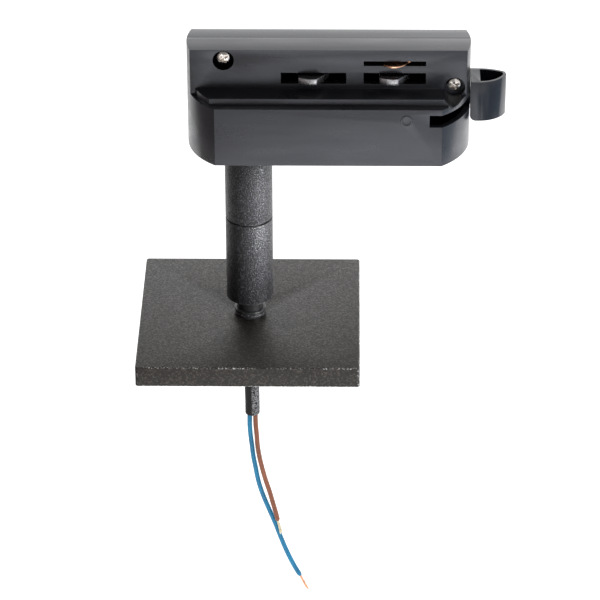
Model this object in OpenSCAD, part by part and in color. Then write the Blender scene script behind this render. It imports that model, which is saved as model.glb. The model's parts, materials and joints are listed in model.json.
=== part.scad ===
// Single-circuit track adapter with a swivelling stem, a tilting neck, a square
// fixture plate and a short connecting lead.
// Origin: middle of the adapter, on the seating plane where the insert leaves the body.
// +X runs along the track, towards the lever. +Z points up into the track.

/* [Adapter housing] */
// Length of the adapter, and of its insert
adapter_len = 99.4; // [99:0.2:102]
// Depth of the lower body
body_depth = 41.8; // [41:0.2:44]
// Distance from the seating plane down to the underside
body_drop = 24; // [24:0.5:28]
// Depth of the insert that goes into the track
insert_depth = 17.3; // [17:0.1:18]
// Height of the insert above the seating plane
insert_height = 14.7; // [14.5:0.1:16]
// Radius of the rounded ends, which is also the lever's sweep
end_radius = 26.6; // [26:0.2:27]
// Drop of the outer step of the ledge below the seating plane
ledge_drop = 2.2; // [1.8:0.1:2.2]
// Depth of the raised part of the ledge
ledge_depth = 34.2; // [32:0.2:36]
// Setback of the raised part's ends from the rounded ends
ledge_setback = 1.6; // [1.2:0.1:1.8]
// Wall thickness of the housing
wall = 2; // [1.8:0.1:2.2]
// Distance of the seam behind the middle
seam_y = 1.4; // [1:0.1:2]

/* [Lever and locks] */
// Distance of the left lock's axis from the middle
left_x = -5.2; // [-6:0.1:-5]
// Swing of the lever from locked to off, in degrees
lever_swing = 52; // [48:1:53]
// Radius of the lock cams
cam_r = 12.2; // [11.5:0.1:12.4]
// Crank radius of the link between the two locks
crank_r = 8; // [7.6:0.1:8.4]
// Reach of the handle beyond the end of the adapter
handle_reach = 12.8; // [11:0.1:14]

/* [Stem] */
// Distance of the stem's axis from the middle
stem_x = -28.5; // [-29:0.5:-27]
// Diameter of the stem
stem_dia = 17; // [17:0.5:18]
// Length of the upper tube
upper_len = 30.8; // [30:0.2:36]
// Length of the lower tube
lower_len = 32.5; // [32:0.5:38]
// Diameter of the tilting neck
neck_dia = 9.4; // [9:0.1:9.4]

/* [Fixture plate] */
// Side of the square plate
plate_side = 80; // [76:1:120]
// Height of the plate
plate_h = 7.8; // [7.5:0.1:10]
// Distance between the two threaded holes of the mounting bar
hole_spacing = 56; // [40:1:60]

/* [Lead] */
// Diameter of the lead's sheath
sheath_dia = 5.4; // [5:0.1:5.4]
// Diameter of each insulated core
core_dia = 1.8; // [1.6:0.1:1.8]
// Diameter of each bare end
tip_dia = 1; // [0.8:0.1:1]

/* [Hidden] */
$fn = 96;

// A cut reaches this far past the face that it opens
over = 1;
// Radial clearance of a running fit, and the gap between parts that move past each other
run_gap = 0.05;
free_gap = 0.3;

// Housing
pivot_x = adapter_len / 2 - end_radius;
body_in = body_depth / 2 - wall;
insert_wall = wall - 0.2;
insert_in = insert_depth / 2 - insert_wall;
roof_z = insert_height - insert_wall;
floor_z = wall - body_drop;
shelf_z = -ledge_drop - wall;
lock_slot = [1.9, 6.1];
contact_slot = [8.8, 10.6];
baffle_z = [6.4, 7.4];
baffle_half = 11.5;
left_slot_half = 11.4;
right_slot_half = 10.85;
lever_slot = [-8.9, -4.3];
slot_back_angle = 8;
slot_front_angle = -60;

// Screws that close the housing: place [x, z], head, recess and shank
screw_places = [[-36.6, 10.7], [44, 0.7]];
screw_head_r = 2.7;
recess_r = 3.7;
recess_depth = 2.8;
screw_r = 1.3;
screw_len = 11;
boss_r = 4.3;

// Rotors: journals, barrel and the heights of what they carry
barrel_r = 4.5;
journal_r = 3.5;
shaft_r = 3;
top_pivot_r = 2.5;
rotor_bore_r = 1.7;
rotor_foot = -20.2;
bearing_top = -18.6;
bearing_r = 5.5;
cam_z = [2.9, 5.3];
cam_half_w = 5.3;
cam_flush = 8.4;
carrier_z = [8.2, 11.2];
carrier_r = 5.6;
hub_cap_r = 4.2;
pivot_top = 12.7;
key_w = 2;
key_r = 4.2;
crank_rest = -90 + lever_swing / 2;
crank_z = [-15.8, -13.8];
crank_w = 5;
pin_r = 1.5;
bar_z = [-13.5, -11.5];
bar_w = 4;
pin_top = -10.8;
right_pin = [pivot_x + crank_r * cos(crank_rest), crank_r * sin(crank_rest)];
left_pin = [left_x + crank_r * cos(crank_rest), crank_r * sin(crank_rest)];

// Contact blades: pocket in the carrier, foot, and the blade with its curled tip
pocket_z = [9, 10.4];
pocket_half = 5.6;
foot_y = -4.8;
foot_t = 0.4;
foot_half = 4.4;
blade_z = [9.1, 9.6];
blade_r = 4.95;
blade_mid = [-0.3, -6];
blade_left = -3.9;
curl_at = [5, -6.4];
curl_r = 0.7;

// Lever handle
arm_z = [-8.6, -4.6];
arm_w = 5.6;
hub_r = 7.5;
grip_z = [-14.4, 0.6];
grip_front = -4.6;
grip_rear = 6.9;
grip_wall = 1;
sweep_r = end_radius + 0.4;
block_x = adapter_len / 2 + 3.5;
tip_x = adapter_len / 2 + handle_reach;
bow_x = block_x - 0.2;
front_bow_r = 10;
rear_bow_r = 17;
nose_r = 9;
nose_y = 1.2;
foot_round = 2.2;

// Terminals: [x, y, z] of the middle of each block's base
block_size = [7, 5, 8];
line_at = [5.5, 14.4, -20];
neutral_at = [5.5, 8, -20];
wire_h = 3.5;
wire_r = 0.6;
wire_z = -21.1;
wire_off = 0.75;
term_screw_r = 1.4;

// Stem
stem_r = stem_dia / 2;
stem_top = -body_drop;
seam_z = stem_top - upper_len;
lower_top = seam_z - 0.1;
rebate_h = 0.5;
rebate_depth = 0.9;
stem_end = lower_top - lower_len;
nipple_r = 5;
nipple_bore = 3.3;
nipple_z = [stem_top - 6.5, floor_z + 3.5];
nut_h = 3.2;
tube_bore = 6.6;
web = 4;
spindle_r = 4.5;
spindle_bore = 2.9;
spindle_z = [lower_top - 5, seam_z + 8.4];
washer_t = 0.5;
ring_nut_r = 5.3;
stop_r = 0.6;
stop_at = 6;

// Tilting neck
plate_top = stem_end - 7.7;
tilt_z = plate_top + 14.2;
neck_r = neck_dia / 2;
cheek = 4.2;
neck_from = tilt_z - 3.4;
neck_slot = neck_dia + 0.5;
pivot_r = 1.5;
pivot_head_r = 2.3;
thread_r = 4;
collar_r = 5.7;
collar_h = 2.7;
groove_z = [1.2, 1.6];
groove_depth = 0.5;

// Fixture plate
skin = 2;
plate_base = plate_top - plate_h;
bar_h = 1.5;
bar_size = [72, 14];
tray_roof = plate_top - skin;
neck_nut_h = 2.7;
neck_foot = tray_roof - bar_h - neck_nut_h;
bar_hole_r = 1.65;
corner_r = 1;

// Lead: the route of the sheath, then of each core and of each bare end
sheath_r = sheath_dia / 2;
sheath_route = [for (p = [[0, 0], [0, -5], [0.1, -12], [0.2, -18], [0.3, -24], [0.4, -30],
    [0.4, -35.5]]) [stem_x + p[0], 0, plate_base + p[1]]];
blue_route = [for (p = [[-0.7, 0.5, -35.6], [-0.7, 0.5, -38], [-0.7, 0.5, -41], [-0.5, 0.6, -45],
    [0, 0.6, -50], [0.5, 0.6, -55], [1.3, 0.6, -60], [2.1, 0.6, -65], [3.3, 0.6, -70], [4.9, 0.6, -75],
    [6.7, 0.6, -80], [8.5, 0.6, -85], [10.1, 0.6, -90], [11.8, 0.6, -95], [13.7, 0.6, -100],
    [15.9, 0.6, -105], [17.9, 0.6, -108.8]]) [stem_x + p[0], p[1], plate_base + p[2]]];
brown_route = [for (p = [[1.5, -0.5, -35.6], [1.5, -0.5, -38], [1.6, -0.5, -41], [1.9, -0.6, -45],
    [2.2, -0.6, -50], [2.9, -0.6, -55], [3.9, -0.6, -60], [5.1, -0.6, -65], [6.5, -0.6, -70],
    [7.7, -0.6, -75], [8.9, -0.6, -80], [9.5, -0.6, -83]])
    [stem_x + p[0], p[1], plate_base + p[2]]];
blue_tip_route = [for (p = [[17.9, 0.6, -108.8], [19.4, 0.6, -112.2], [21, 0.6, -115.7]])
    [stem_x + p[0], p[1], plate_base + p[2]]];
brown_tip_route = [for (p = [[9.5, -0.6, -83], [10.2, -0.6, -86], [10.9, -0.7, -89.2]])
    [stem_x + p[0], p[1], plate_base + p[2]]];

// Wiring inside the housing. Every route starts square to the face that it leaves.
cable_top = -17.5;
blue_inner_route = [[-29.5, 0, -17.4], [-29.5, 0, -15.5], [-27.8, 1.8, -13], [-24, 6, -12.4],
    [-18, 11.5, -13], [-11, 14.2, -14.6], [-5, 14.4, -16.2], [2.2, 14.4, -16.5], [5, 14.4, -16.5]];
brown_inner_route = [[-27.5, 0, -17.4], [-27.5, 0, -16.4], [-25, 2, -14.8], [-20, 5.6, -15],
    [-14, 7.8, -15.8], [-8, 8, -16.4], [-2, 8, -16.5], [2.2, 8, -16.5], [5, 8, -16.5]];
rear_lead_route = [[9, 14.4, -16.5], [11, 14.4, -16.5], [13.5, 13.8, -17.6], [17, 12, -19.5],
    [21.5, 9, -21.1], [pivot_x + wire_off, 6, wire_z], [pivot_x + wire_off, 0.6, wire_z]];
front_lead_route = [[9, 8, -16.5], [11, 8, -16.5], [13.5, 7.9, -18], [17, 7.4, -20], [20.5, 6.8, -21.1],
    [pivot_x - wire_off, 5, wire_z], [pivot_x - wire_off, 0.6, wire_z]];

function unit(v) = v / norm(v);
function heading(route, i) =
    unit(route[min(i + 1, len(route) - 1)] - route[max(i - 1, 0)]);
function ring_points(route, i, r, sides, across) =
    let (t = heading(route, i), u = unit(cross(t, across)), v = cross(t, u))
    [for (k = [0 : sides - 1]) route[i] + r * (u * cos(360 * k / sides) + v * sin(360 * k / sides))];

// Tube of radius r along a route. across is a direction that the route never follows.
module cord(route, r, across = [0, 1, 0], sides = 8) {
    rings = len(route);
    points = [for (i = [0 : rings - 1]) each ring_points(route, i, r, sides, across)];
    walls = [for (i = [0 : rings - 2], k = [0 : sides - 1])
        let (a = i * sides + k, b = i * sides + (k + 1) % sides) [a, a + sides, b + sides, b]];
    polyhedron(points = points, faces = concat(walls,
        [[for (k = [0 : sides - 1]) k]],
        [[for (k = [sides - 1 : -1 : 0]) (rings - 1) * sides + k]]));
}

// Block with the adapter's plan, of the given depth, between two heights
module plan_block(depth, inset, z0, z1) {
    intersection() {
        union() {
            for (side = [-1, 1])
                translate([side * pivot_x, 0, z0]) cylinder(r = end_radius - inset, h = z1 - z0);
            translate([-pivot_x, -end_radius, z0]) cube([2 * pivot_x, 2 * end_radius, z1 - z0]);
        }
        translate([-adapter_len, inset - depth / 2, z0 - over])
            cube([2 * adapter_len, depth - 2 * inset, z1 - z0 + 2 * over]);
    }
}

// Tube or washer along Z
module ring(outer, inner, z0, z1) {
    difference() {
        translate([0, 0, z0]) cylinder(r = outer, h = z1 - z0);
        translate([0, 0, z0 - over]) cylinder(r = inner, h = z1 - z0 + 2 * over);
    }
}

// Solid cylinder along Y
module rod_y(r, y0, y1) {
    translate([0, y0, 0]) rotate([-90, 0, 0]) cylinder(r = r, h = y1 - y0);
}

// Hexagonal nut along Z
module hex_nut(across_flats, inner, z0, z1) {
    difference() {
        translate([0, 0, z0]) cylinder(r = across_flats / sqrt(3), h = z1 - z0, $fn = 6);
        translate([0, 0, z0 - over]) cylinder(r = inner, h = z1 - z0 + 2 * over);
    }
}

// Arc-shaped cut through which the lever swings
module lever_slot_cut() {
    translate([pivot_x, 0, lever_slot[0]]) linear_extrude(lever_slot[1] - lever_slot[0])
        polygon([[0, 0], 40 * [cos(slot_back_angle), sin(slot_back_angle)],
            60 * [cos(slot_front_angle / 2), sin(slot_front_angle / 2)],
            40 * [cos(slot_front_angle), sin(slot_front_angle)]]);
}

// Slot through both faces of the insert
module insert_slot(x, half, span) {
    translate([x - half, -insert_depth, span[0]])
        cube([2 * half, 2 * insert_depth, span[1] - span[0]]);
}

module housing_hollow() {
    plan_block(body_depth, wall, floor_z, shelf_z);
    plan_block(insert_depth, insert_wall, shelf_z - over, roof_z);
}

// Shelf between the right cam and the contacts, which closes the view through the slots
module baffle() {
    translate([pivot_x, 0, 0]) difference() {
        translate([-baffle_half, -insert_in - over / 2, baffle_z[0]])
            cube([2 * baffle_half, 2 * insert_in + over, baffle_z[1] - baffle_z[0]]);
        translate([0, 0, baffle_z[0] - over]) cylinder(r = hub_cap_r + free_gap, h = 4);
    }
}

// Ribs, bosses and bearings that stand inside the hollow
module housing_inside() {
    intersection() {
        union() {
            for (at = screw_places)
                translate([at[0], 0, at[1]]) rod_y(boss_r, -insert_depth / 2 + 1, insert_depth / 2 - 1);
            for (x = [left_x, pivot_x]) translate([x, 0, 0]) {
                ring(bearing_r, journal_r + run_gap, floor_z - over, bearing_top);
                ring(barrel_r, top_pivot_r + run_gap, carrier_z[1] + 0.1, roof_z + over);
            }
            for (at = [line_at, neutral_at])
                translate([at[0] - block_size[0] / 2, at[1] - block_size[1] / 2, floor_z - over])
                    cube([block_size[0], block_size[1], at[2] - floor_z + over]);
            baffle();
        }
        plan_block(body_depth - over, over / 2, floor_z - over / 2, roof_z + over / 2);
    }
}

// Both halves of the housing in one, before the seam parts them
module housing_whole() {
    difference() {
        union() {
            difference() {
                union() {
                    plan_block(body_depth, 0, -body_drop, -ledge_drop);
                    plan_block(ledge_depth + 2 * ledge_setback, ledge_setback, -ledge_drop, 0);
                    plan_block(insert_depth, 0, -ledge_drop, insert_height);
                }
                housing_hollow();
            }
            housing_inside();
        }
        lever_slot_cut();
        insert_slot(left_x, left_slot_half, lock_slot);
        insert_slot(pivot_x, right_slot_half, lock_slot);
        insert_slot(pivot_x, right_slot_half, contact_slot);
        translate([stem_x, 0, -body_drop - over]) cylinder(r = nipple_r + 0.1, h = 2 * wall);
        translate([pivot_x - rotor_bore_r, 0, floor_z])
            cube([2 * rotor_bore_r, bearing_r + over, rotor_foot - floor_z - 0.1]);
        for (at = screw_places) translate([at[0], 0, at[1]]) {
            rod_y(recess_r, -body_depth / 2 - over, -insert_depth / 2 + recess_depth);
            rod_y(screw_r + 0.2, -insert_depth / 2, seam_y);
            rod_y(screw_r, seam_y - over, recess_depth + screw_len - insert_depth / 2);
        }
    }
}

// Half space on one side of the seam: side -1 is the front
module seam_side(side) {
    translate([-adapter_len, side > 0 ? seam_y : seam_y - body_depth, -body_drop - over])
        cube([2 * adapter_len, body_depth, body_drop + insert_height + 2 * over]);
}

module housing_front() {
    color("#3a3b3e") union() {
        intersection() {
            housing_whole();
            seam_side(-1);
        }
        // Raised ring that marks the off position of the lever
        translate([27.2, 0, -6.5]) difference() {
            rod_y(2.1, -body_depth / 2 - 0.3, -body_depth / 2 + 0.5);
            rod_y(1.5, -body_depth / 2 - over, -body_depth / 2);
        }
    }
}

module housing_rear() {
    color("#343538") intersection() {
        housing_whole();
        seam_side(1);
    }
}

module housing_screws() {
    color("#d8d4cc") for (at = screw_places) translate([at[0], -insert_depth / 2 + recess_depth, at[1]])
        difference() {
            union() {
                rod_y(screw_head_r, -1.3, 0);
                rod_y(screw_r, 0, screw_len);
            }
            for (turn = [40, 130]) rotate([0, turn, 0])
                translate([-1.7, -1.3 - over, -0.35]) cube([3.4, 1.7 + 0.1, 0.7]);
        }
}

// Brass block with a hole for the core along X and a screw from above
module terminal(at) {
    translate(at) difference() {
        translate([-block_size[0] / 2, -block_size[1] / 2, 0]) cube(block_size);
        translate([-block_size[0] / 2 - over, 0, wire_h]) rotate([0, 90, 0])
            cylinder(r = core_dia / 2 + 0.2, h = 4.2 + over);
        translate([0, 0, wire_h + 2]) cylinder(r = term_screw_r, h = block_size[2]);
    }
}

module line_terminal() {
    color("#c9a24a") terminal(line_at);
}

module neutral_terminal() {
    color("#c9a24a") terminal(neutral_at);
}

module terminal_screws() {
    color("#cfccc4") for (at = [line_at, neutral_at]) translate(at) {
        translate([0, 0, wire_h + 2]) cylinder(r = term_screw_r, h = block_size[2] - wire_h - 2);
        difference() {
            translate([0, 0, block_size[2]]) cylinder(r = 2.4, h = 1.7);
            translate([-3, -0.4, block_size[2] + 0.9]) cube([6, 0.8, 2]);
        }
    }
}

module terminal_leads() {
    color("#a8703c") {
        cord(rear_lead_route, wire_r, [0, 0, 1]);
        cord(front_lead_route, wire_r, [0, 0, 1]);
    }
}

module inner_brown_core() {
    color("#8a5434") cord(brown_inner_route, core_dia / 2, [-1, 1.2, 0]);
}

module inner_blue_core() {
    color("#1f7fc4") cord(blue_inner_route, core_dia / 2, [-1, 1.2, 0]);
}

// Round cable on the stem's axis between two heights
module stem_cable(z0, z1) {
    color("#2b2b2c") translate([stem_x, 0, z0]) cylinder(r = sheath_r, h = z1 - z0);
}

module cable_upper() {
    stem_cable(spindle_z[1] + 0.5, cable_top);
}

module stem_nipple() {
    color("#b9b5aa") translate([stem_x, 0, 0]) ring(nipple_r, nipple_bore, nipple_z[0], nipple_z[1]);
}

module nipple_nut() {
    color("#b9b5aa") translate([stem_x, 0, 0]) hex_nut(14, nipple_r, floor_z, floor_z + nut_h);
}

module stem_upper_tube() {
    color("#3c3c3d") translate([stem_x, 0, 0]) difference() {
        translate([0, 0, seam_z]) cylinder(r = stem_r, h = upper_len);
        translate([0, 0, seam_z + web]) cylinder(r = tube_bore, h = upper_len - web - 8);
        translate([0, 0, stem_top - 9]) cylinder(r = nipple_r, h = 9 + over);
        translate([0, 0, seam_z - over]) cylinder(r = spindle_r + run_gap, h = web + 2 * over);
    }
}

module stop_pin() {
    color("#b9b5aa") translate([stem_x - stop_at, 0, seam_z + web]) cylinder(r = stop_r - 0.05, h = 2.6);
}

// Arm and pin of a crank at rest, from the axis at [0, 0]
module crank() {
    rotate([0, 0, crank_rest]) {
        translate([0, -crank_w / 2, crank_z[0]]) cube([crank_r, crank_w, crank_z[1] - crank_z[0]]);
        translate([crank_r, 0, crank_z[0]]) cylinder(r = crank_w / 2, h = crank_z[1] - crank_z[0]);
        translate([crank_r, 0, crank_z[0]]) cylinder(r = pin_r, h = pin_top - crank_z[0]);
    }
}

// Rotor with its lower journal, barrel, crank, cam seat and shaft
module rotor(shaft_top) {
    translate([0, 0, rotor_foot]) cylinder(r = journal_r, h = bearing_top + 0.1 - rotor_foot);
    translate([0, 0, bearing_top + 0.1]) cylinder(r = barrel_r, h = cam_z[0] - bearing_top - 0.1);
    translate([0, 0, cam_z[0]]) cylinder(r = shaft_r, h = shaft_top - cam_z[0]);
    cam_key();
    crank();
}

module cam_key() {
    translate([-key_w / 2, -key_r, cam_z[0]]) cube([key_w, 2 * key_r, cam_z[1] - cam_z[0]]);
}

module lever_rotor() {
    color("#2a2a2c") translate([pivot_x, 0, 0]) difference() {
        rotor(carrier_z[0]);
        translate([0, 0, rotor_foot - over])
            cylinder(r = rotor_bore_r, h = carrier_z[0] - rotor_foot + 2 * over);
    }
}

module left_rotor() {
    color("#2a2a2c") translate([left_x, 0, 0]) {
        rotor(carrier_z[1]);
        translate([0, 0, carrier_z[1]]) cylinder(r = top_pivot_r, h = pivot_top - carrier_z[1]);
    }
}

// Two-winged cam that turns flush with the insert at the off position
module lock_cam() {
    difference() {
        intersection() {
            translate([0, 0, cam_z[0]]) cylinder(r = cam_r, h = cam_z[1] - cam_z[0]);
            translate([-cam_half_w, -cam_r, cam_z[0] - over]) cube([2 * cam_half_w, 2 * cam_r, 10]);
            rotate([0, 0, lever_swing]) translate([-2 * cam_r, -cam_flush, cam_z[0] - over])
                cube([4 * cam_r, 2 * cam_flush, 10]);
        }
        translate([0, 0, cam_z[0] - over]) cylinder(r = shaft_r, h = 10);
        cam_key();
    }
}

module right_lock_cam() {
    color("#4a4744") translate([pivot_x, 0, 0]) lock_cam();
}

module left_lock_cam() {
    color("#4a4744") translate([left_x, 0, 0]) lock_cam();
}

module cam_spacer() {
    color("#2a2a2c") translate([left_x, 0, 0]) ring(hub_cap_r, shaft_r, cam_z[1], carrier_z[1]);
}

// Insulating cap on the rotor that carries the two contact blades
module contact_carrier() {
    color("#34302c") translate([pivot_x, 0, 0]) difference() {
        union() {
            translate([0, 0, cam_z[1]]) cylinder(r = hub_cap_r, h = carrier_z[0] - cam_z[1]);
            translate([0, 0, carrier_z[0]]) cylinder(r = carrier_r, h = carrier_z[1] - carrier_z[0]);
            translate([0, 0, carrier_z[1]]) cylinder(r = top_pivot_r, h = pivot_top - carrier_z[1]);
        }
        translate([0, 0, cam_z[1] - over]) cylinder(r = shaft_r, h = carrier_z[0] - cam_z[1] + over);
        translate([0, 0, carrier_z[0] - over]) cylinder(r = rotor_bore_r, h = 3.2);
        for (side = [-1, 1]) rotate([0, 0, side > 0 ? 0 : 180]) {
            translate([-pocket_half, foot_y - pocket_half, pocket_z[0]])
                cube([2 * pocket_half, pocket_half + foot_t * 2, pocket_z[1] - pocket_z[0]]);
            translate([wire_off, 0, 9.7]) rod_y(wire_r + 0.05, -4.5, 0);
        }
    }
}

// Flat blade that reaches out of the slot, with a square left corner and a curled right tip
module contact_blade() {
    intersection() {
        translate([blade_mid[0], blade_mid[1], blade_z[0]])
            cylinder(r = blade_r, h = blade_z[1] - blade_z[0]);
        translate([blade_left, blade_mid[1] - 2 * blade_r, blade_z[0] - over])
            cube([3 * blade_r, foot_y + foot_t - blade_mid[1] + 2 * blade_r, 3]);
    }
    translate([-foot_half, foot_y, pocket_z[0]]) cube([2 * foot_half, foot_t, pocket_z[1] - pocket_z[0]]);
    translate([curl_at[0], curl_at[1], 0]) ring(curl_r, curl_r - foot_t, blade_z[0], pocket_z[1]);
}

module line_contact() {
    color("#b4683a") translate([pivot_x, 0, 0]) contact_blade();
}

module neutral_contact() {
    color("#b4683a") translate([pivot_x, 0, 0]) rotate([0, 0, 180]) contact_blade();
}

module rotor_leads() {
    color("#a8703c") for (side = [-1, 1]) translate([pivot_x + side * wire_off, 0, 0]) {
        translate([0, 0, wire_z + wire_r + 0.1]) cylinder(r = wire_r, h = 9.7 - wire_z - wire_r);
        translate([0, 0, 9.7]) rod_y(wire_r, side > 0 ? -4.4 : 0, side > 0 ? 0 : 4.4);
    }
}

// Outline of the grip's loop beyond the block: a bowed front, a bowed rear and a round nose
module grip_loop(inset, z0, z1) {
    intersection() {
        translate([bow_x, grip_front + front_bow_r, z0]) cylinder(r = front_bow_r - inset, h = z1 - z0);
        translate([bow_x, grip_rear - rear_bow_r, z0]) cylinder(r = rear_bow_r - inset, h = z1 - z0);
        translate([tip_x - nose_r, nose_y, z0]) cylinder(r = nose_r - inset, h = z1 - z0);
        translate([bow_x, grip_front, z0 - over])
            cube([tip_x, grip_rear - grip_front, z1 - z0 + 2 * over]);
    }
}

// Side view of the grip, with its lower corner at the block rounded
module grip_side() {
    left = pivot_x + sweep_r - 0.4;
    translate([left + foot_round, 0, grip_z[0] + foot_round])
        rod_y(foot_round, grip_front - over, grip_rear + over);
    for (box = [[left - over, grip_z[0] + foot_round, grip_z[1]], [left + foot_round, grip_z[0], 0]])
        translate([box[0], grip_front - over, box[1]])
            cube([tip_x + over - box[0], grip_rear - grip_front + 2 * over, box[2] - box[1]]);
}

// Solid block of the grip, hollowed to clear the housing's end
module grip_block() {
    difference() {
        translate([pivot_x + sweep_r - 2, grip_front, grip_z[0]])
            cube([block_x - pivot_x - sweep_r + 2, grip_rear - grip_front, grip_z[1] - grip_z[0]]);
        translate([pivot_x, 0, grip_z[0] - over]) cylinder(r = sweep_r, h = grip_z[1] - grip_z[0] + 2 * over);
    }
}

module lever_handle() {
    color("#2b2c2e") difference() {
        union() {
            translate([pivot_x, 0, arm_z[0]]) cylinder(r = hub_r, h = arm_z[1] - arm_z[0]);
            translate([pivot_x, -arm_w / 2, arm_z[0]])
                cube([sweep_r + over, arm_w, arm_z[1] - arm_z[0]]);
            intersection() {
                union() {
                    grip_block();
                    difference() {
                        grip_loop(0, grip_z[0], grip_z[1]);
                        grip_loop(grip_wall, grip_z[0] - over, grip_z[1] + over);
                    }
                }
                grip_side();
            }
        }
        translate([pivot_x, 0, arm_z[0] - over]) cylinder(r = barrel_r, h = arm_z[1] - arm_z[0] + 2 * over);
    }
}

module link_bar() {
    color("#b9b5aa") difference() {
        union() {
            translate([left_pin[0], left_pin[1] - bar_w / 2, bar_z[0]])
                cube([right_pin[0] - left_pin[0], bar_w, bar_z[1] - bar_z[0]]);
            for (at = [left_pin, right_pin]) translate([at[0], at[1], bar_z[0]])
                cylinder(r = bar_w / 2 + 0.6, h = bar_z[1] - bar_z[0]);
        }
        translate([right_pin[0], right_pin[1], bar_z[0] - over])
            cylinder(r = pin_r + run_gap, h = bar_z[1] - bar_z[0] + 2 * over);
        translate([left_pin[0], left_pin[1], bar_z[0] - over])
            cylinder(r = pin_r + free_gap, h = bar_z[1] - bar_z[0] + 2 * over);
    }
}

// Lower tube, open at its foot, with a slot at the rear for the tilting neck and a rebate at its top
module stem_lower_tube() {
    color("#3c3c3d") translate([stem_x, 0, 0]) difference() {
        translate([0, 0, stem_end]) cylinder(r = stem_r, h = lower_len);
        translate([0, 0, stem_end - over]) cylinder(r = tube_bore, h = lower_len - 5 + over);
        translate([0, 0, spindle_z[0] - over]) cylinder(r = spindle_r, h = 5 + 2 * over);
        ring(stem_r + over, stem_r - rebate_depth, lower_top - rebate_h, lower_top + over);
        translate([-neck_slot / 2, 0, stem_end - over])
            cube([neck_slot, stem_r + over, tilt_z - stem_end + over]);
        translate([0, 0, tilt_z]) rod_y(neck_slot / 2, 0, stem_r + over);
        for (side = [-1, 1]) translate([0, 0, tilt_z]) rotate([0, side * 90, 0]) {
            cylinder(r = pivot_r, h = stem_r + over);
            translate([0, 0, stem_r - 1.2]) cylinder(r = pivot_head_r, h = 1.2 + over);
        }
    }
}

module swivel_spindle() {
    color("#b9b5aa") translate([stem_x, 0, 0])
        ring(spindle_r, spindle_bore, spindle_z[0], spindle_z[1]);
}

module swivel_washer() {
    color("#c9c5ba") translate([stem_x, 0, 0]) difference() {
        union() {
            translate([0, 0, seam_z + web + 0.1]) cylinder(r = ring_nut_r, h = washer_t);
            translate([0, -0.6, seam_z + web + 0.1]) cube([6.3, 1.2, washer_t]);
        }
        translate([0, 0, seam_z]) cylinder(r = spindle_r, h = 10);
    }
}

module swivel_nut() {
    color("#b9b5aa") translate([stem_x, 0, 0]) difference() {
        ring(ring_nut_r, spindle_r, seam_z + web + 0.1 + washer_t, spindle_z[1]);
        for (turn = [0, 90]) rotate([0, 0, turn])
            translate([-ring_nut_r - over, -0.6, spindle_z[1] - 1.2])
                cube([2 * (ring_nut_r + over), 1.2, 2]);
    }
}

module pivot_screws() {
    color("#4c4c4c") translate([stem_x, 0, tilt_z]) for (side = [-1, 1])
        rotate([0, side * 90, 0]) difference() {
            union() {
                translate([0, 0, sheath_r + 0.4]) cylinder(r = pivot_r, h = stem_r - 1.2 - sheath_r - 0.4);
                translate([0, 0, stem_r - 1.2]) cylinder(r = pivot_head_r, h = 0.8);
            }
            translate([-3, -0.35, stem_r - 0.9]) cube([6, 0.7, 2]);
        }
}

module friction_washers() {
    color("#7c7a74") translate([stem_x, 0, tilt_z]) for (side = [-1, 1])
        rotate([0, side * 90, 0]) ring(2.8, pivot_r, cheek + 0.1, 5.8);
}

module cable_middle() {
    stem_cable(tilt_z + 5.7, spindle_z[1] + 0.4);
}

module tilt_neck() {
    color("#343435") translate([stem_x, 0, 0]) difference() {
        union() {
            translate([-cheek, 0, tilt_z]) rotate([0, 90, 0]) cylinder(r = neck_r, h = 2 * cheek);
            translate([0, 0, plate_top]) cylinder(r = neck_r, h = neck_from - plate_top);
            translate([0, 0, neck_foot]) cylinder(r = thread_r, h = plate_top - neck_foot);
        }
        translate([0, 0, neck_foot - over]) cylinder(r = spindle_bore, h = tilt_z - neck_foot + 10);
        translate([-cheek - over, 0, tilt_z]) rotate([0, 90, 0])
            cylinder(r = pivot_r + run_gap, h = 2 * (cheek + over));
    }
}

module neck_collar() {
    color("#3c3c3d") translate([stem_x, 0, 0]) difference() {
        ring(collar_r, neck_r, plate_top, plate_top + collar_h);
        ring(collar_r + over, collar_r - groove_depth, plate_top + groove_z[0], plate_top + groove_z[1]);
    }
}

// Square tray with small upright rounds at its corners, open below
module fixture_plate() {
    color("#4a4946") translate([stem_x, 0, 0]) difference() {
        union() {
            for (long = [[0, corner_r], [corner_r, 0]])
                translate([long[0] - plate_side / 2, long[1] - plate_side / 2, plate_base])
                    cube([plate_side - 2 * long[0], plate_side - 2 * long[1], plate_h]);
            for (sx = [-1, 1], sy = [-1, 1])
                translate([sx * (plate_side / 2 - corner_r), sy * (plate_side / 2 - corner_r), plate_base])
                    cylinder(r = corner_r, h = plate_h);
        }
        translate([skin - plate_side / 2, skin - plate_side / 2, plate_base - over])
            cube([plate_side - 2 * skin, plate_side - 2 * skin, plate_h - skin + over]);
        translate([0, 0, tray_roof - over]) cylinder(r = thread_r + 0.1, h = skin + 2 * over);
    }
}

module mounting_bar() {
    color("#a9a69c") translate([stem_x, 0, tray_roof - bar_h]) difference() {
        translate([-bar_size[0] / 2, -bar_size[1] / 2, 0]) cube([bar_size[0], bar_size[1], bar_h]);
        translate([0, 0, -over]) cylinder(r = thread_r + 0.1, h = bar_h + 2 * over);
        for (side = [-1, 1]) translate([side * hole_spacing / 2, 0, -over])
            cylinder(r = bar_hole_r, h = bar_h + 2 * over);
    }
}

module neck_nut() {
    color("#a9a69c") translate([stem_x, 0, 0]) hex_nut(12, thread_r, neck_foot, tray_roof - bar_h);
}

module lead_clamp() {
    color("#2b2b2c") translate([stem_x, 0, 0]) ring(5, sheath_r + run_gap, plate_base, neck_foot);
}

module cable_lower() {
    stem_cable(plate_base, tilt_z + 4.6);
}

module lead_sheath() {
    color("#2b2b2c") cord(sheath_route, sheath_r, sides = 12);
}

module blue_lead() {
    color("#1f8fd0") cord(blue_route, core_dia / 2);
}

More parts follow.
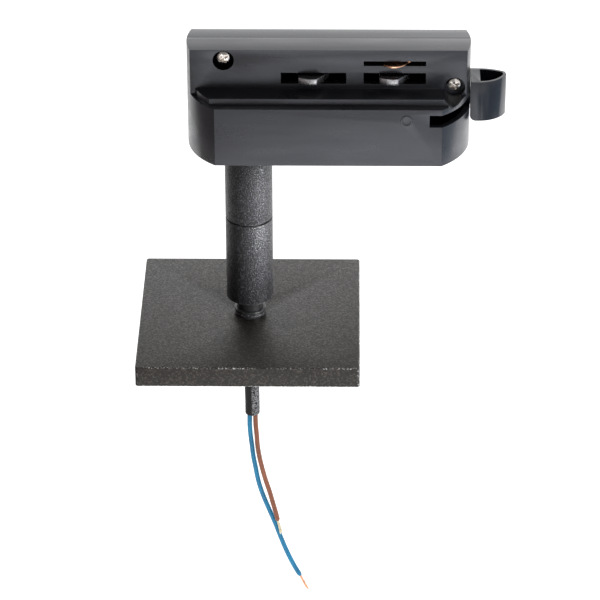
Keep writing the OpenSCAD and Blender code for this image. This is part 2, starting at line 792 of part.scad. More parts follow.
module brown_lead() {
    color("#a0664f") cord(brown_route, core_dia / 2);
}

module blue_tip() {
    color("#c98a52") cord(blue_tip_route, tip_dia / 2);
}

module brown_tip() {
    color("#d9c9a4") cord(brown_tip_route, tip_dia / 2);
}

housing_front();
housing_rear();
housing_screws();
line_terminal();
neutral_terminal();
terminal_screws();
terminal_leads();
inner_brown_core();
inner_blue_core();
cable_upper();
stem_nipple();
nipple_nut();
stem_upper_tube();
stop_pin();
lever_rotor();
lever_handle();
contact_carrier();
right_lock_cam();
line_contact();
neutral_contact();
rotor_leads();
link_bar();
left_rotor();
left_lock_cam();
cam_spacer();
stem_lower_tube();
swivel_spindle();
swivel_washer();
swivel_nut();
pivot_screws();
friction_washers();
cable_middle();
tilt_neck();
neck_collar();
fixture_plate();
mounting_bar();
neck_nut();
lead_clamp();
cable_lower();
lead_sheath();
blue_lead();
brown_lead();
blue_tip();
brown_tip();
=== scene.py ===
import json
import math
import random

import bmesh
import bpy
from mathutils import Matrix, Vector

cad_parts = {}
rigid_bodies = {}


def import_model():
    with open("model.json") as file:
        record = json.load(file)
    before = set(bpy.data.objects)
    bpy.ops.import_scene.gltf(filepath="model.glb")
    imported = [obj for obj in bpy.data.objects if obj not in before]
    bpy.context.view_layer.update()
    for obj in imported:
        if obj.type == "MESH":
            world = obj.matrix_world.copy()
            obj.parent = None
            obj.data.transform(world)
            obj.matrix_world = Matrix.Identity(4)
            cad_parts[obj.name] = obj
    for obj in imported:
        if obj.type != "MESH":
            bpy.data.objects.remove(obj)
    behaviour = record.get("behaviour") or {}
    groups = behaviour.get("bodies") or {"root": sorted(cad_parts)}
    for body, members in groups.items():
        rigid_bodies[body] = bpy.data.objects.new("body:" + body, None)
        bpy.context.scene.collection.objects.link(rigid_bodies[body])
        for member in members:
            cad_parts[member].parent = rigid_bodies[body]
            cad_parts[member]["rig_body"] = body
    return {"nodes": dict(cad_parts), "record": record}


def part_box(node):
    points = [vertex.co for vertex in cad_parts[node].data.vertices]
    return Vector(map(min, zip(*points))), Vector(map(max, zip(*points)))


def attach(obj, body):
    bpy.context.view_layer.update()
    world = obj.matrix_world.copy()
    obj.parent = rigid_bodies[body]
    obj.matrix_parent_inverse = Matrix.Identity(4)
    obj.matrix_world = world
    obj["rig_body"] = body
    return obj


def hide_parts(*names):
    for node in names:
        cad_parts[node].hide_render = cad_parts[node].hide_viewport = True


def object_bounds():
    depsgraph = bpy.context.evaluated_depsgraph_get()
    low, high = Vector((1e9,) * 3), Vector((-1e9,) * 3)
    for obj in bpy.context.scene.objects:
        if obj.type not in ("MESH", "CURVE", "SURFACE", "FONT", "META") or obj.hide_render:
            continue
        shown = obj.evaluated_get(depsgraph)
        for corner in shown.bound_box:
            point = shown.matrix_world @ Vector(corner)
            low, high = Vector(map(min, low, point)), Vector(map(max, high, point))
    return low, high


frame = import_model()
cad_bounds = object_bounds()
nodes = frame["nodes"]
MM = 0.001

# ------------------------------------------------------------------ camera
# The photograph's angle and distance, in the part's own frame
CAMERA_PITCH, CAMERA_YAW, CAMERA_ROLL = 29.85, -0.9, -0.2
CAMERA_PLACE = (0.0064, -1.0638, 0.5205)
CAMERA_LENS = 201.9
SENSOR_WIDTH = 36


def make_camera():
    pitch, yaw, roll = (math.radians(a) for a in (CAMERA_PITCH, CAMERA_YAW, CAMERA_ROLL))
    look = Vector((math.sin(yaw) * math.cos(pitch), math.cos(yaw) * math.cos(pitch), -math.sin(pitch)))
    level = Vector((math.cos(yaw), -math.sin(yaw), 0))
    rise = level.cross(look)
    right = level * math.cos(roll) + rise * math.sin(roll)
    up = rise * math.cos(roll) - level * math.sin(roll)
    data = bpy.data.cameras.new("camera")
    data.sensor_width = SENSOR_WIDTH
    data.lens = CAMERA_LENS
    data.clip_start = 0.05
    data.clip_end = 30
    camera = bpy.data.objects.new("camera", data)
    bpy.context.scene.collection.objects.link(camera)
    axes = Matrix((right, up, -look)).transposed().to_4x4()
    camera.matrix_world = Matrix.Translation(CAMERA_PLACE) @ axes
    bpy.context.scene.camera = camera


make_camera()


# --------------------------------------------------------------- materials
class Finish:
    """A Principled material, with the few node recipes that this object needs."""

    def __init__(self, name, color, roughness, metallic=0.0, ior=1.5):
        self.material = bpy.data.materials.new(name)
        self.material.use_nodes = True
        self.tree = self.material.node_tree
        self.shader = self.tree.nodes["Principled BSDF"]
        self.shader.inputs["Base Color"].default_value = (*color, 1)
        self.shader.inputs["Roughness"].default_value = roughness
        self.shader.inputs["Metallic"].default_value = metallic
        self.shader.inputs["IOR"].default_value = ior
        self.place = self.tree.nodes.new("ShaderNodeTexCoord").outputs["Object"]
        self.height = None

    def stretched(self, stretch):
        """Object coordinates scaled by stretch, for grain that runs along an axis."""
        node = self.tree.nodes.new("ShaderNodeMapping")
        node.inputs["Scale"].default_value = stretch
        self.tree.links.new(self.place, node.inputs["Vector"])
        return node.outputs["Vector"]

    def noise(self, size_mm, detail=2.0, rough=0.5, place=None):
        node = self.tree.nodes.new("ShaderNodeTexNoise")
        node.inputs["Scale"].default_value = 1 / (size_mm * MM)
        node.inputs["Detail"].default_value = detail
        node.inputs["Roughness"].default_value = rough
        self.tree.links.new(place or self.place, node.inputs["Vector"])
        return node.outputs["Fac"]

    def ramp(self, value, low, high, start, end):
        """start where value is low or less, end where it is high or more."""
        node = self.tree.nodes.new("ShaderNodeMapRange")
        node.inputs["From Min"].default_value = low
        node.inputs["From Max"].default_value = high
        node.inputs["To Min"].default_value = start
        node.inputs["To Max"].default_value = end
        self.tree.links.new(value, node.inputs["Value"])
        return node.outputs["Result"]

    def mix(self, factor, first, second):
        """Blend two colours, each a tuple or a socket."""
        node = self.tree.nodes.new("ShaderNodeMix")
        node.data_type = "RGBA"
        self.tree.links.new(factor, node.inputs["Factor"])
        for socket, value in ((node.inputs["A"], first), (node.inputs["B"], second)):
            if isinstance(value, tuple):
                socket.default_value = (*value, 1)
            else:
                self.tree.links.new(value, socket)
        return node.outputs["Result"]

    def blend(self, factor, first, second):
        """first where factor is 0 and second, a number, where it is 1."""
        node = self.tree.nodes.new("ShaderNodeMix")
        self.tree.links.new(factor, node.inputs["Factor"])
        self.tree.links.new(first, node.inputs["A"])
        node.inputs["B"].default_value = second
        return node.outputs["Result"]

    def product(self, first, second):
        node = self.tree.nodes.new("ShaderNodeMath")
        node.operation = "MULTIPLY"
        self.tree.links.new(first, node.inputs[0])
        self.tree.links.new(second, node.inputs[1])
        return node.outputs["Value"]

    def color(self, value):
        self.tree.links.new(value, self.shader.inputs["Base Color"])

    def roughness(self, value):
        self.tree.links.new(value, self.shader.inputs["Roughness"])

    def bump(self, value, depth_mm):
        """Relief of a depth, added to the relief that is there already."""
        node = self.tree.nodes.new("ShaderNodeBump")
        node.inputs["Strength"].default_value = 1.0
        node.inputs["Distance"].default_value = depth_mm * MM
        self.tree.links.new(value, node.inputs["Height"])
        if self.height is not None:
            self.tree.links.new(self.height, node.inputs["Normal"])
        self.height = node.outputs["Normal"]
        self.tree.links.new(self.height, self.shader.inputs["Normal"])

    def edge(self, width_mm, low=0.0, high=0.35):
        """1 along worn edges and 0 elsewhere, from how sharply the surface bends."""
        bevel = self.tree.nodes.new("ShaderNodeBevel")
        bevel.inputs["Radius"].default_value = width_mm * MM
        bevel.samples = 4
        shape = self.tree.nodes.new("ShaderNodeNewGeometry")
        turn = self.tree.nodes.new("ShaderNodeVectorMath")
        turn.operation = "DISTANCE"
        self.tree.links.new(bevel.outputs["Normal"], turn.inputs[0])
        self.tree.links.new(shape.outputs["Normal"], turn.inputs[1])
        return self.ramp(turn.outputs["Value"], low, high, 0.0, 1.0)


def moulded_plastic(name, color, low, high, ior=1.55):
    """Satin black plastic of a roughness from low to high: fine spark texture, faint flow marks along X,
    polished edges and a little dust."""
    look = Finish(name, color, (low + high) / 2, ior=ior)
    look.shader.inputs["Specular Tint"].default_value = (0.9, 0.92, 1.0, 1)
    flow = look.noise(7, place=look.stretched((0.3, 1.0, 1.7)))
    spark = look.noise(0.55, detail=3.0, rough=0.6)
    edge = look.edge(0.25)
    satin = look.ramp(flow, 0.32, 0.7, low, high)
    look.roughness(look.blend(edge, satin, low * 0.8))
    dust = look.ramp(look.noise(0.45, detail=4.0, rough=0.7), 0.66, 0.8, 0.0, 0.5)
    plain = look.mix(dust, color, tuple(4 * c + 0.015 for c in color))
    rubbed = look.product(edge, look.ramp(flow, 0.45, 0.6, 0.0, 0.5))
    look.color(look.mix(rubbed, plain, tuple(3 * c + 0.004 for c in color)))
    look.bump(spark, 0.022)
    look.bump(flow, 0.008)
    return look.material


def powder_coat(name, color, fleck, grain_mm, depth_mm, rough, ior=1.5, bare=(0.12, 0.12, 0.13)):
    """Sandy powder coat: uneven grains with crests in the fleck colour, and bare chips on its edges; a pale
    bare colour makes the chips a painted highlight along the edges as well as wear.
    """
    look = Finish(name, color, rough, ior=ior)
    grain = look.noise(grain_mm, rough=0.55)
    grit = look.noise(grain_mm * 0.35, rough=0.6)
    patch = look.noise(12, detail=3.0)
    crest = look.ramp(grain, 0.5, 0.72, 0.0, 1.0)
    base = look.mix(look.ramp(patch, 0.3, 0.7, 0.0, 1.0), tuple(c * 0.8 for c in color), color)
    chips = look.ramp(look.noise(0.75, detail=3.0, rough=0.7), 0.53, 0.6, 0.0, 1.0)
    wear_and_glint = look.product(look.ramp(patch, 0.38, 0.5, 0.15, 1.0), chips)
    look.color(look.mix(look.product(look.edge(0.5, 0.02, 0.15), wear_and_glint), look.mix(crest, base, fleck), bare))
    look.roughness(look.ramp(grain, 0.35, 0.68, rough + 0.12, rough - 0.1))
    look.bump(grain, depth_mm)
    look.bump(grit, depth_mm * 0.5)
    return look.material


def plated_metal(name, color, rough, stain, stain_share=0.5):
    """Plated or bare metal: fine drawn lines along X, with duller stains."""
    look = Finish(name, color, rough, metallic=1.0)
    lines = look.noise(0.25, place=look.stretched((0.12, 1.0, 1.0)))
    blotch = look.noise(2.2, detail=3.0, rough=0.6)
    look.color(look.mix(look.ramp(blotch, 0.42, 0.75, 0.0, stain_share), color, stain))
    look.roughness(look.ramp(blotch, 0.3, 0.7, rough, rough + 0.16))
    look.bump(lines, 0.004)
    return look.material


def insulation(name, color, shade):
    """Extruded soft plastic on a core: smooth, with slight waves and shading."""
    look = Finish(name, color, 0.4)
    waves = look.noise(2.6, place=look.stretched((1.0, 1.0, 0.35)))
    look.color(look.mix(look.ramp(waves, 0.35, 0.7, 0.0, 0.6), color, shade))
    look.roughness(look.ramp(look.noise(0.6), 0.3, 0.7, 0.34, 0.48))
    look.bump(waves, 0.02)
    return look.material


def braid(name, axis_x):
    """Braided black yarns over two cores, with painted light on the right half: grey mixed into the yarns
    there stands for the side that the key lights.
    """
    look = Finish(name, (0.02, 0.02, 0.021), 0.7)
    yarn = look.noise(0.6, detail=3.0, rough=0.75)
    split = look.tree.nodes.new("ShaderNodeSeparateXYZ")
    look.tree.links.new(look.place, split.inputs["Vector"])
    right = look.ramp(split.outputs["X"], axis_x - 0.25 * MM, axis_x + 0.15 * MM, 0.0, 1.0)
    # painted light: grey yarns only on the right half of the sheath, the side that the key lights
    lit_yarns = look.product(look.ramp(yarn, 0.46, 0.57, 0.0, 1.0), right)
    look.color(look.mix(lit_yarns, (0.004, 0.004, 0.004), (0.36, 0.352, 0.36)))
    look.bump(look.noise(0.2), 0.06)
    return look.material


CABLE_X = sum(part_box("cable_lower")[k].x for k in (0, 1)) / 2
# the painted light on the sheath's right half starts from this line
SHEATH_X = CABLE_X + 0.3 * MM   # middle of the sheath where it is seen
LOOKS = {
    # colour, lowest and highest roughness, index of refraction
    "housing_plastic": moulded_plastic("housing_plastic", (0.012, 0.0121, 0.0136), 0.26, 0.36, 1.6),
    "housing_rear_plastic": moulded_plastic(
        "housing_rear_plastic", (0.0075, 0.0076, 0.0082), 0.17, 0.24, 1.68),
    # painted shade: near-black, matt plastic for the faces inside the insert, where little light reaches
    "housing_inside": moulded_plastic("housing_inside", (0.0015, 0.0015, 0.0015), 0.8, 0.9, 1.05),
    "lever_plastic": moulded_plastic("lever_plastic", (0.005, 0.0058, 0.0072), 0.14, 0.22, 1.5),
    "rotor_plastic": moulded_plastic("rotor_plastic", (0.010, 0.010, 0.010), 0.4, 0.55),
    # colour, crests, grain and its depth in mm, roughness, index of refraction, bare metal
    "powder_coat": powder_coat(
        "powder_coat", (0.006, 0.0056, 0.006), (0.05, 0.05, 0.055), 0.6, 0.22, 0.36, 1.4),
    # plate: its pale edge chips are worn paint and also a painted highlight along its top edge
    "plate_coat": powder_coat(
        "plate_coat", (0.012, 0.010, 0.008), (0.047, 0.039, 0.032), 0.62, 0.1, 0.42, 1.38, (0.6, 0.59, 0.57)),
    "neck_metal": powder_coat("neck_metal", (0.008, 0.008, 0.008), (0.03, 0.03, 0.03), 0.5, 0.05, 0.32),
    # colour, roughness, stains and how strong they are
    "cam_metal": plated_metal("cam_metal", (0.4, 0.395, 0.405), 0.2, (0.05, 0.045, 0.043), 0.8),
    "copper": plated_metal("copper", (0.92, 0.5, 0.31), 0.2, (0.5, 0.22, 0.12), 0.6),
    "tinned_copper": plated_metal("tinned_copper", (0.86, 0.76, 0.55), 0.3, (0.5, 0.42, 0.26)),
    "brass": plated_metal("brass", (0.78, 0.58, 0.28), 0.25, (0.45, 0.3, 0.12)),
    "nickel_screw": plated_metal("nickel_screw", (0.92, 0.87, 0.81), 0.14, (0.22, 0.15, 0.11), 0.6),
    "zinc_steel": plated_metal("zinc_steel", (0.66, 0.65, 0.62), 0.3, (0.4, 0.38, 0.33)),
    "black_steel": plated_metal("black_steel", (0.06, 0.06, 0.062), 0.35, (0.02, 0.02, 0.02)),
    # black braid with painted light on its right half
    "sheath": braid("sheath", SHEATH_X),
    "blue_insulation": insulation("blue_insulation", (0.001, 0.31, 0.58), (0.001, 0.14, 0.32)),
    "brown_insulation": insulation("brown_insulation", (0.4, 0.125, 0.05), (0.24, 0.065, 0.026)),
}
SLOT_OF = {row["node"]: row["material_slot"] for row in frame["record"]["subparts"]}


# ------------------------------------------------------------ mesh helpers
def new_piece(name, bm, look, body, replaced, sharp_angle=40):
    """Object from a bmesh, shaded smooth between sharp edges, which stands for the CAD nodes replaced."""
    bmesh.ops.recalc_face_normals(bm, faces=bm.faces)
    for face in bm.faces:
        face.smooth = True
    mesh = bpy.data.meshes.new(name)
    bm.to_mesh(mesh)
    bm.free()
    mesh.set_sharp_from_angle(angle=math.radians(sharp_angle))
    mesh.materials.append(LOOKS[look])
    piece = bpy.data.objects.new(name, mesh)
    bpy.context.scene.collection.objects.link(piece)
    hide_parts(*replaced)
    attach(piece, body)
    return piece


def clean_copy(node):
    """The node's mesh as clean faces: one face for each flat, with no doubled points."""
    bm = bmesh.new()
    bm.from_mesh(nodes[node].data)
    bmesh.ops.remove_doubles(bm, verts=bm.verts, dist=1e-6)
    bmesh.ops.dissolve_limit(bm, angle_limit=math.radians(0.6), verts=bm.verts, edges=bm.edges)
    return bm


ROUNDED_FROM = math.radians(28)   # edges that turn by more than this are rounded


def rounded(node, width_mm):
    """A finer stand-in for a node: the same shape with its edges rounded."""
    bm = clean_copy(node)
    sharp = [e for e in bm.edges if len(e.link_faces) == 2 and e.calc_face_angle() > ROUNDED_FROM]
    bmesh.ops.bevel(bm, geom=sharp, offset=width_mm * MM, segments=3, profile=0.5,
                    affect="EDGES", clamp_overlap=True)
    return new_piece(node + "_rounded", bm, SLOT_OF[node], nodes[node]["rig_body"], [node])


def smooth_route(points, steps):
    """Catmull-Rom line through given points."""
    ends = [2 * points[0] - points[1], *points, 2 * points[-1] - points[-2]]
    line = []
    for a, b, c, d in zip(ends, ends[1:], ends[2:], ends[3:]):
        for k in range(steps):
            t = k / steps
            line.append(0.5 * (2 * b + (c - a) * t + (2 * a - 5 * b + 4 * c - d) * t * t
                               + (3 * b - a - 3 * c + d) * t ** 3))
    return line + [points[-1].copy()]


def line_length(line):
    return sum((b - a).length for a, b in zip(line, line[1:]))


def across(line, i):
    """Two directions across a line at its point i."""
    ahead = (line[min(i + 1, len(line) - 1)] - line[max(i - 1, 0)]).normalized()
    u = ahead.cross(Vector((0, 1, 0))).normalized()
    return u, ahead.cross(u)


def swept_tube(line, radius_at, sides):
    """bmesh tube along a line. radius_at(share, angle) gives the radius; its ends are closed."""
    bm = bmesh.new()
    total = line_length(line)
    gone, rings = 0.0, []
    for i, point in enumerate(line):
        if i:
            gone += (point - line[i - 1]).length
        u, v = across(line, i)
        ring = []
        for k in range(sides):
            angle = 2 * math.pi * k / sides
            r = radius_at(gone / total, angle)
            ring.append(bm.verts.new(point + r * (math.cos(angle) * u + math.sin(angle) * v)))
        rings.append(ring)
    for low, high in zip(rings, rings[1:]):
        for k in range(sides):
            bm.faces.new((low[k], low[(k + 1) % sides], high[(k + 1) % sides], high[k]))
    bm.faces.new(rings[0][::-1])
    bm.faces.new(rings[-1])
    return bm


# --------------------------------------------------------------- the lead
plate_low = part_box("fixture_plate")[0]
LEAD_TOP = Vector((CABLE_X, 0, plate_low.z))


def lead_points(*points):
    """Route points in millimetres from the lead's exit, as the CAD model has them."""
    return [LEAD_TOP + Vector(p) * MM for p in points]


SHEATH_ROUTE = lead_points((0, 0, 0), (0, 0, -5), (0.1, 0, -12), (0.2, 0, -18), (0.3, 0, -24),
                           (0.4, 0, -30), (0.4, 0, -35.5))
BLUE_ROUTE = lead_points(
    (-0.7, 0.5, -35.6), (-0.7, 0.5, -38), (-0.7, 0.5, -41), (-0.5, 0.6, -45), (0, 0.6, -50),
    (0.5, 0.6, -55), (1.3, 0.6, -60), (2.1, 0.6, -65), (3.3, 0.6, -70), (4.9, 0.6, -75),
    (6.7, 0.6, -80), (8.5, 0.6, -85), (10.1, 0.6, -90), (11.8, 0.6, -95), (13.7, 0.6, -100),
    (15.9, 0.6, -105), (17.9, 0.6, -108.8))
BROWN_ROUTE = lead_points(
    (1.5, -0.5, -35.6), (1.5, -0.5, -38), (1.6, -0.5, -41), (1.9, -0.6, -45), (2.2, -0.6, -50),
    (2.9, -0.6, -55), (3.9, -0.6, -60), (5.1, -0.6, -65), (6.5, -0.6, -70), (7.7, -0.6, -75),
    (8.9, -0.6, -80), (9.5, -0.6, -83))
BLUE_TIP_ROUTE = lead_points((17.9, 0.6, -108.8), (19.4, 0.6, -112.2), (21, 0.6, -115.7))
BROWN_TIP_ROUTE = lead_points((9.5, -0.6, -83), (10.2, -0.6, -86), (10.9, -0.7, -89.2))

CORE_R = 0.9 * MM
SHEATH_R = 2.7 * MM
YARNS = 12                 # yarns around the sheath
YARN_LAY = 9 * MM          # length in which a yarn goes once around
YARN_RELIEF = 0.09 * MM
STRAND_R = 0.15 * MM
STRAND_RING_R = 0.3 * MM   # six strands lie on a ring around the middle one
STRAND_TWIST = 220         # degrees over a bare end


def rounded_end(radius, total, roll):
    """Radius along a tube whose two ends are rolled over by a small round."""
    def radius_at(share, angle):
        near = min(share, 1 - share) * total
        if near >= roll:
            return radius
        return radius - roll + math.sqrt(max(roll * roll - (roll - near) ** 2, 0.0))
    return radius_at


def core(name, route, look, node):
    line = smooth_route(route, 5)
    total = line_length(line)
    bm = swept_tube(line, rounded_end(CORE_R, total, 0.25 * MM), 20)
    piece = new_piece(name, bm, look, "plate", [node], 50)


def strands(name, route, look, node, spread_mm, seed):
    """A bare end of twisted fine wires, which open a little towards their cut ends."""
    draw = random.Random(seed)
    line = smooth_route(route, 8)
    whole = bmesh.new()
    places = [(0.0, 0.0)] + [(STRAND_RING_R, 60 * k) for k in range(6)]
    for off, turn in places:
        open_out = draw.uniform(0.3, 1.0) * spread_mm * MM
        cut = len(line) - draw.randint(0, 3)
        path = []
        for i, point in enumerate(line[:cut]):
            share = i / (len(line) - 1)
            angle = math.radians(turn + STRAND_TWIST * share)
            u, v = across(line, i)
            reach = off + (open_out * share * share if off else 0)
            path.append(point + reach * (math.cos(angle) * u + math.sin(angle) * v))
        strand = swept_tube(path, lambda share, angle: STRAND_R, 8)
        mesh = bpy.data.meshes.new("strand")
        strand.to_mesh(mesh)
        strand.free()
        whole.from_mesh(mesh)
        bpy.data.meshes.remove(mesh)
    return new_piece(name, whole, look, "plate", [node], 60)


def braided_sheath():
    """Sheath with crossed yarns standing out of it, and a rolled cut end."""
    line = smooth_route(SHEATH_ROUTE, 24)
    total = line_length(line)
    end = rounded_end(SHEATH_R, total, 0.35 * MM)
    turns = total / YARN_LAY

    def radius_at(share, angle):
        one = math.sin(YARNS / 2 * angle + turns * 2 * math.pi * share * YARNS / 4)
        other = math.sin(YARNS / 2 * angle - turns * 2 * math.pi * share * YARNS / 4)
        return end(share, angle) - YARN_RELIEF * (1 - max(abs(one), abs(other)))

    tube = swept_tube(line, radius_at, 72)
    piece = new_piece("braided_sheath", tube, "sheath", "plate", ["lead_sheath"], 60)


blue_end = strands("blue_core_strands", BLUE_TIP_ROUTE, "copper", "blue_tip", 0.12, 3)
brown_end = strands("brown_core_strands", BROWN_TIP_ROUTE, "tinned_copper", "brown_tip", 0.3, 5)
braided_sheath()
core("blue_core", BLUE_ROUTE, "blue_insulation", "blue_lead")
core("brown_core", BROWN_ROUTE, "brown_insulation", "brown_lead")

# ------------------------------------------------------- the rigid pieces
# Width of the round on the edges of each node that gets a finer stand-in
EDGE_MM = {
    "housing_front": 0.32, "housing_rear": 0.32, "lever_handle": 0.3, "stem_upper_tube": 0.35,
    "stem_lower_tube": 0.3, "fixture_plate": 0.35, "neck_collar": 0.15, "right_lock_cam": 0.25,
    "left_lock_cam": 0.25, "tilt_neck": 0.3, "line_contact": 0.12, "neutral_contact": 0.12,
    "mounting_bar": 0.2, "neck_nut": 0.25, "lead_clamp": 0.25, "pivot_screws": 0.12,
    "link_bar": 0.2, "nipple_nut": 0.25,
}
pieces = {node_name: rounded(node_name, edge_mm) for node_name, edge_mm in EDGE_MM.items()}

INSIDE_HALF = 8.55 * MM   # faces nearer to the middle plane than this can be inside the insert
SEAT_SKIN = 0.5 * MM      # above the seating plane
ROOF = 1.2 * MM           # thickness of the insert's top
END_WALL = 6 * MM         # more than the insert's end walls


def paint_inside_shade(piece):
    """Paint shade on the inner faces of a housing half's insert: they take a near-black, matt material, as if
    little light reached them.
    """
    mesh = piece.data
    mesh.materials.append(LOOKS["housing_inside"])
    low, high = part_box("housing_front")
    for face in mesh.polygons:
        x, y, z = face.center
        if (abs(y) < INSIDE_HALF and SEAT_SKIN < z < high.z - ROOF
                and low.x + END_WALL < x < high.x - END_WALL):
            face.material_index = 1


pieces["housing_rear"].data.materials[0] = LOOKS["housing_rear_plastic"]
for half in ("housing_front", "housing_rear"):
    paint_inside_shade(pieces[half])

# Housing screws, in mm
HEAD_R, HEAD_CROWN, HEAD_RIM = 2.7, 0.95, 0.35
HEAD_HEIGHT = HEAD_CROWN + HEAD_RIM
SHANK_R, SHANK_LENGTH = 1.3, 11
THREAD_PITCH, THREAD_DEPTH, THREAD_STEP = 0.9, 0.32, 0.15
POINT_LENGTH = 1.8
SCREW_SIDES = 96
LEFT_TURN, RIGHT_TURN = 0.55, 0.3   # how far each cross recess is turned, in radians


def smooth_step(low, high, value):
    t = min(max((value - low) / (high - low), 0.0), 1.0)
    return t * t * (3 - 2 * t)


def cross_recess(x, z):
    """Depth in mm of a cross recess at a point on a screw's head: four tapered wings."""
    wing_end, half_width, full_depth = 1.7, 0.42, 1.15
    depth = 0.0
    for along, aside in ((x, z), (z, x)):
        half = half_width * (1 - 0.25 * abs(along) / wing_end)
        wing = 1 - smooth_step(half - 0.12, half + 0.1, abs(aside))
        reach = 1 - smooth_step(1.35, 1.8, abs(along))
        depth = max(depth, wing * reach * (full_depth - 0.35 * abs(along) / wing_end))
    return depth


def head_ring(radius, turn):
    """Points of the domed head at a radius, with the cross recess cut into it."""
    dome = HEAD_RIM + HEAD_CROWN * math.sqrt(max(1 - (radius / HEAD_R) ** 2, 0.0))
    ring = []
    for k in range(SCREW_SIDES):
        angle = 2 * math.pi * k / SCREW_SIDES
        x, z = radius * math.cos(angle), radius * math.sin(angle)
        cut = cross_recess(x * math.cos(turn) + z * math.sin(turn), z * math.cos(turn) - x * math.sin(turn))
        ring.append((x, cut - dome, z))
    return ring


def shank_ring(y):
    """Points of the threaded shank at a depth y, which narrows to a blunt point."""
    narrows_from = SHANK_LENGTH - POINT_LENGTH
    taper = smooth_step(SHANK_LENGTH, narrows_from, y) if y > narrows_from else 1.0
    ring = []
    for k in range(SCREW_SIDES):
        angle = 2 * math.pi * k / SCREW_SIDES
        wave = abs(((y / THREAD_PITCH + k / SCREW_SIDES) % 1.0) - 0.5) * 2
        radius = (SHANK_R - THREAD_DEPTH * wave) * (0.35 + 0.65 * taper)
        ring.append((radius * math.cos(angle), y, radius * math.sin(angle)))
    return ring


def under_head_ring():
    angles = [2 * math.pi * k / SCREW_SIDES for k in range(SCREW_SIDES)]
    return [(HEAD_R * math.cos(angle), 0.0, HEAD_R * math.sin(angle)) for angle in angles]


def pan_head_screw(bm, turn, place):
    """Domed head with a cross recess on a threaded shank, driven along +Y from place."""
    steps = int(SHANK_LENGTH / THREAD_STEP)
    rings = [head_ring(HEAD_R * math.sin(math.radians(a)), turn) for a in range(0, 91, 3)]
    rings.append(under_head_ring())
    rings += [shank_ring(SHANK_LENGTH * i / steps) for i in range(steps + 1)]
    made = [[bm.verts.new(place + Vector(p) * MM) for p in ring] for ring in rings[1:]]
    top = bm.verts.new(place + Vector(rings[0][0]) * MM)
    for k in range(SCREW_SIDES):
        bm.faces.new((top, made[0][k], made[0][(k + 1) % SCREW_SIDES]))
    for low, high in zip(made, made[1:]):
        for k in range(SCREW_SIDES):
            after = (k + 1) % SCREW_SIDES
            bm.faces.new((low[k], high[k], high[after], low[after]))
    bm.faces.new(made[-1])


def housing_screws():
    """Both screws, placed by their heads' corners of the CAD node's box."""
    low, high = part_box("housing_screws")
    bm = bmesh.new()
    seat = low.y + HEAD_HEIGHT * MM
    pan_head_screw(bm, LEFT_TURN, Vector((low.x + HEAD_R * MM, seat, high.z - HEAD_R * MM)))
    pan_head_screw(bm, RIGHT_TURN, Vector((high.x - HEAD_R * MM, seat, low.z + HEAD_R * MM)))
    new_piece("pan_head_screws", bm, "nickel_screw", "adapter", ["housing_screws"], 35)


housing_screws()
REPLACED = {"lead_sheath", "blue_lead", "brown_lead", "blue_tip", "brown_tip", "housing_screws", *EDGE_MM}
for node_name, thing in nodes.items():
    if node_name not in REPLACED:
        thing.data.materials.clear()
        thing.data.materials.append(LOOKS[SLOT_OF[node_name]])

# -------------------------------------------------------- floor and light
FLOOR_Z = cad_bounds[0][2] - 0.03
FLOOR_CARD_Z = cad_bounds[0][2] - 0.028
FLOOR_HALF = 4
FLOOR_SHADE, FLOOR_GLOW = 0.45, 1.12
# The studio's brightness in front of the object and behind it, and where along Y it changes
DIM, BRIGHT = 0.22, 1.8
BEHIND_FROM, BEHIND_TO = 0.1, 0.85
# Cards that only light or shade the object: a corner, the two sides from it, and how much they glow.
# The floor cards and the side cards are what its dark faces mirror; the flag keeps the key light off
# the adapter and leaves it on the stem, the plate and the lead.
CARDS = {
    "card_left": ((-0.30, -0.60, -0.245), (0, 0.74, 0), (0, 0, 0.6), (0.17, 0.14, 0.14)),
    "card_right": ((0.30, -0.30, -0.245), (0.06, 0.36, 0), (0, 0, 0.2), (0.6, 0.72, 0.88)),
    "floor_left": ((-0.40, -0.70, FLOOR_CARD_Z), (0.29, 0, 0), (0, 0.62, 0), (0.3, 0.27, 0.26)),
    "floor_right": ((0.14, -0.70, FLOOR_CARD_Z), (0.5, 0, 0), (0, 0.6, 0), (0.62, 0.7, 0.84)),
    "flag": ((0.06, -0.17, -0.028), (0.125, 0.175, 0), (0, 0, 0.2), (1.0, 1.03, 1.08)),
}
KEY_PLACE, KEY_TARGET = Vector((0.66, -0.46, 0.0)), Vector((0, 0, -0.06))
KEY_SIZE, KEY_WATTS, KEY_COLOR = (0.14, 0.08), 36, (0.96, 0.97, 1.0)


def make_floor():
    bm = bmesh.new()
    bmesh.ops.create_grid(bm, x_segments=2, y_segments=2, size=FLOOR_HALF)
    mesh = bpy.data.meshes.new("floor")
    bm.to_mesh(mesh)
    bm.free()
    floor = bpy.data.objects.new("floor", mesh)
    bpy.context.scene.collection.objects.link(floor)
    floor.location.z = FLOOR_Z
    paint = Finish("floor_paint", (FLOOR_SHADE, FLOOR_SHADE, FLOOR_SHADE), 0.9)
    paint.shader.inputs["Specular IOR Level"].default_value = 0.0
    paint.shader.inputs["Emission Color"].default_value = (1, 1, 1, 1)
    paint.shader.inputs["Emission Strength"].default_value = FLOOR_GLOW
    mesh.materials.append(paint.material)


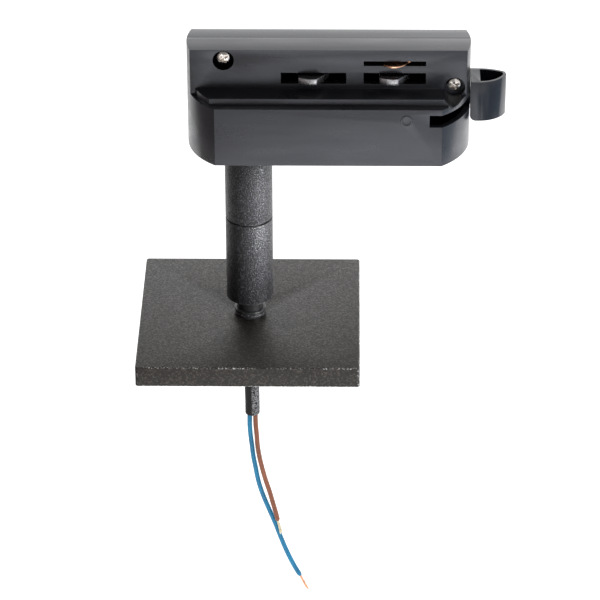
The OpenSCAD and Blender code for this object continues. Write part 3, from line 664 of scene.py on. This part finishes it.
def make_world():
    """A studio that is bright behind the object and dim above it and in front of it."""
    world = bpy.data.worlds.new("studio")
    world.use_nodes = True
    tree = world.node_tree
    background = tree.nodes["Background"]
    background.inputs["Color"].default_value = (1, 1, 1, 1)
    place = tree.nodes.new("ShaderNodeTexCoord").outputs["Generated"]
    split = tree.nodes.new("ShaderNodeSeparateXYZ")
    tree.links.new(place, split.inputs["Vector"])
    behind = tree.nodes.new("ShaderNodeMapRange")
    behind.inputs["From Min"].default_value = BEHIND_FROM
    behind.inputs["From Max"].default_value = BEHIND_TO
    behind.inputs["To Min"].default_value = DIM
    behind.inputs["To Max"].default_value = BRIGHT
    behind.interpolation_type = "SMOOTHSTEP"
    tree.links.new(split.outputs["Y"], behind.inputs["Value"])
    tree.links.new(behind.outputs["Result"], background.inputs["Strength"])
    bpy.context.scene.world = world


def make_card(name, corner, along, up, glow):
    """A faintly glowing card that the camera doesn't see."""
    mesh = bpy.data.meshes.new(name)
    corner, along, up = Vector(corner), Vector(along), Vector(up)
    mesh.from_pydata([corner, corner + along, corner + along + up, corner + up], [], [(0, 1, 2, 3)])
    card = bpy.data.objects.new(name, mesh)
    bpy.context.scene.collection.objects.link(card)
    paint = Finish(name, (0.01, 0.01, 0.01), 1.0)
    paint.shader.inputs["Emission Color"].default_value = (*glow, 1)
    paint.shader.inputs["Emission Strength"].default_value = 1.0
    mesh.materials.append(paint.material)
    card.visible_camera = False


def make_key_light():
    """The soft light from the right that gives the stem its bright side."""
    data = bpy.data.lights.new("key", "AREA")
    data.shape = "RECTANGLE"
    data.size, data.size_y = KEY_SIZE
    data.energy = KEY_WATTS
    data.color = KEY_COLOR
    lamp = bpy.data.objects.new("key", data)
    bpy.context.scene.collection.objects.link(lamp)
    lamp.visible_camera = False
    lamp.location = KEY_PLACE
    lamp.rotation_euler = (KEY_TARGET - KEY_PLACE).to_track_quat("-Z", "Y").to_euler()


make_floor()
make_world()
for card_name, card_sides in CARDS.items():
    make_card(card_name, *card_sides)
make_key_light()
bpy.context.scene.view_settings.view_transform = "Standard"
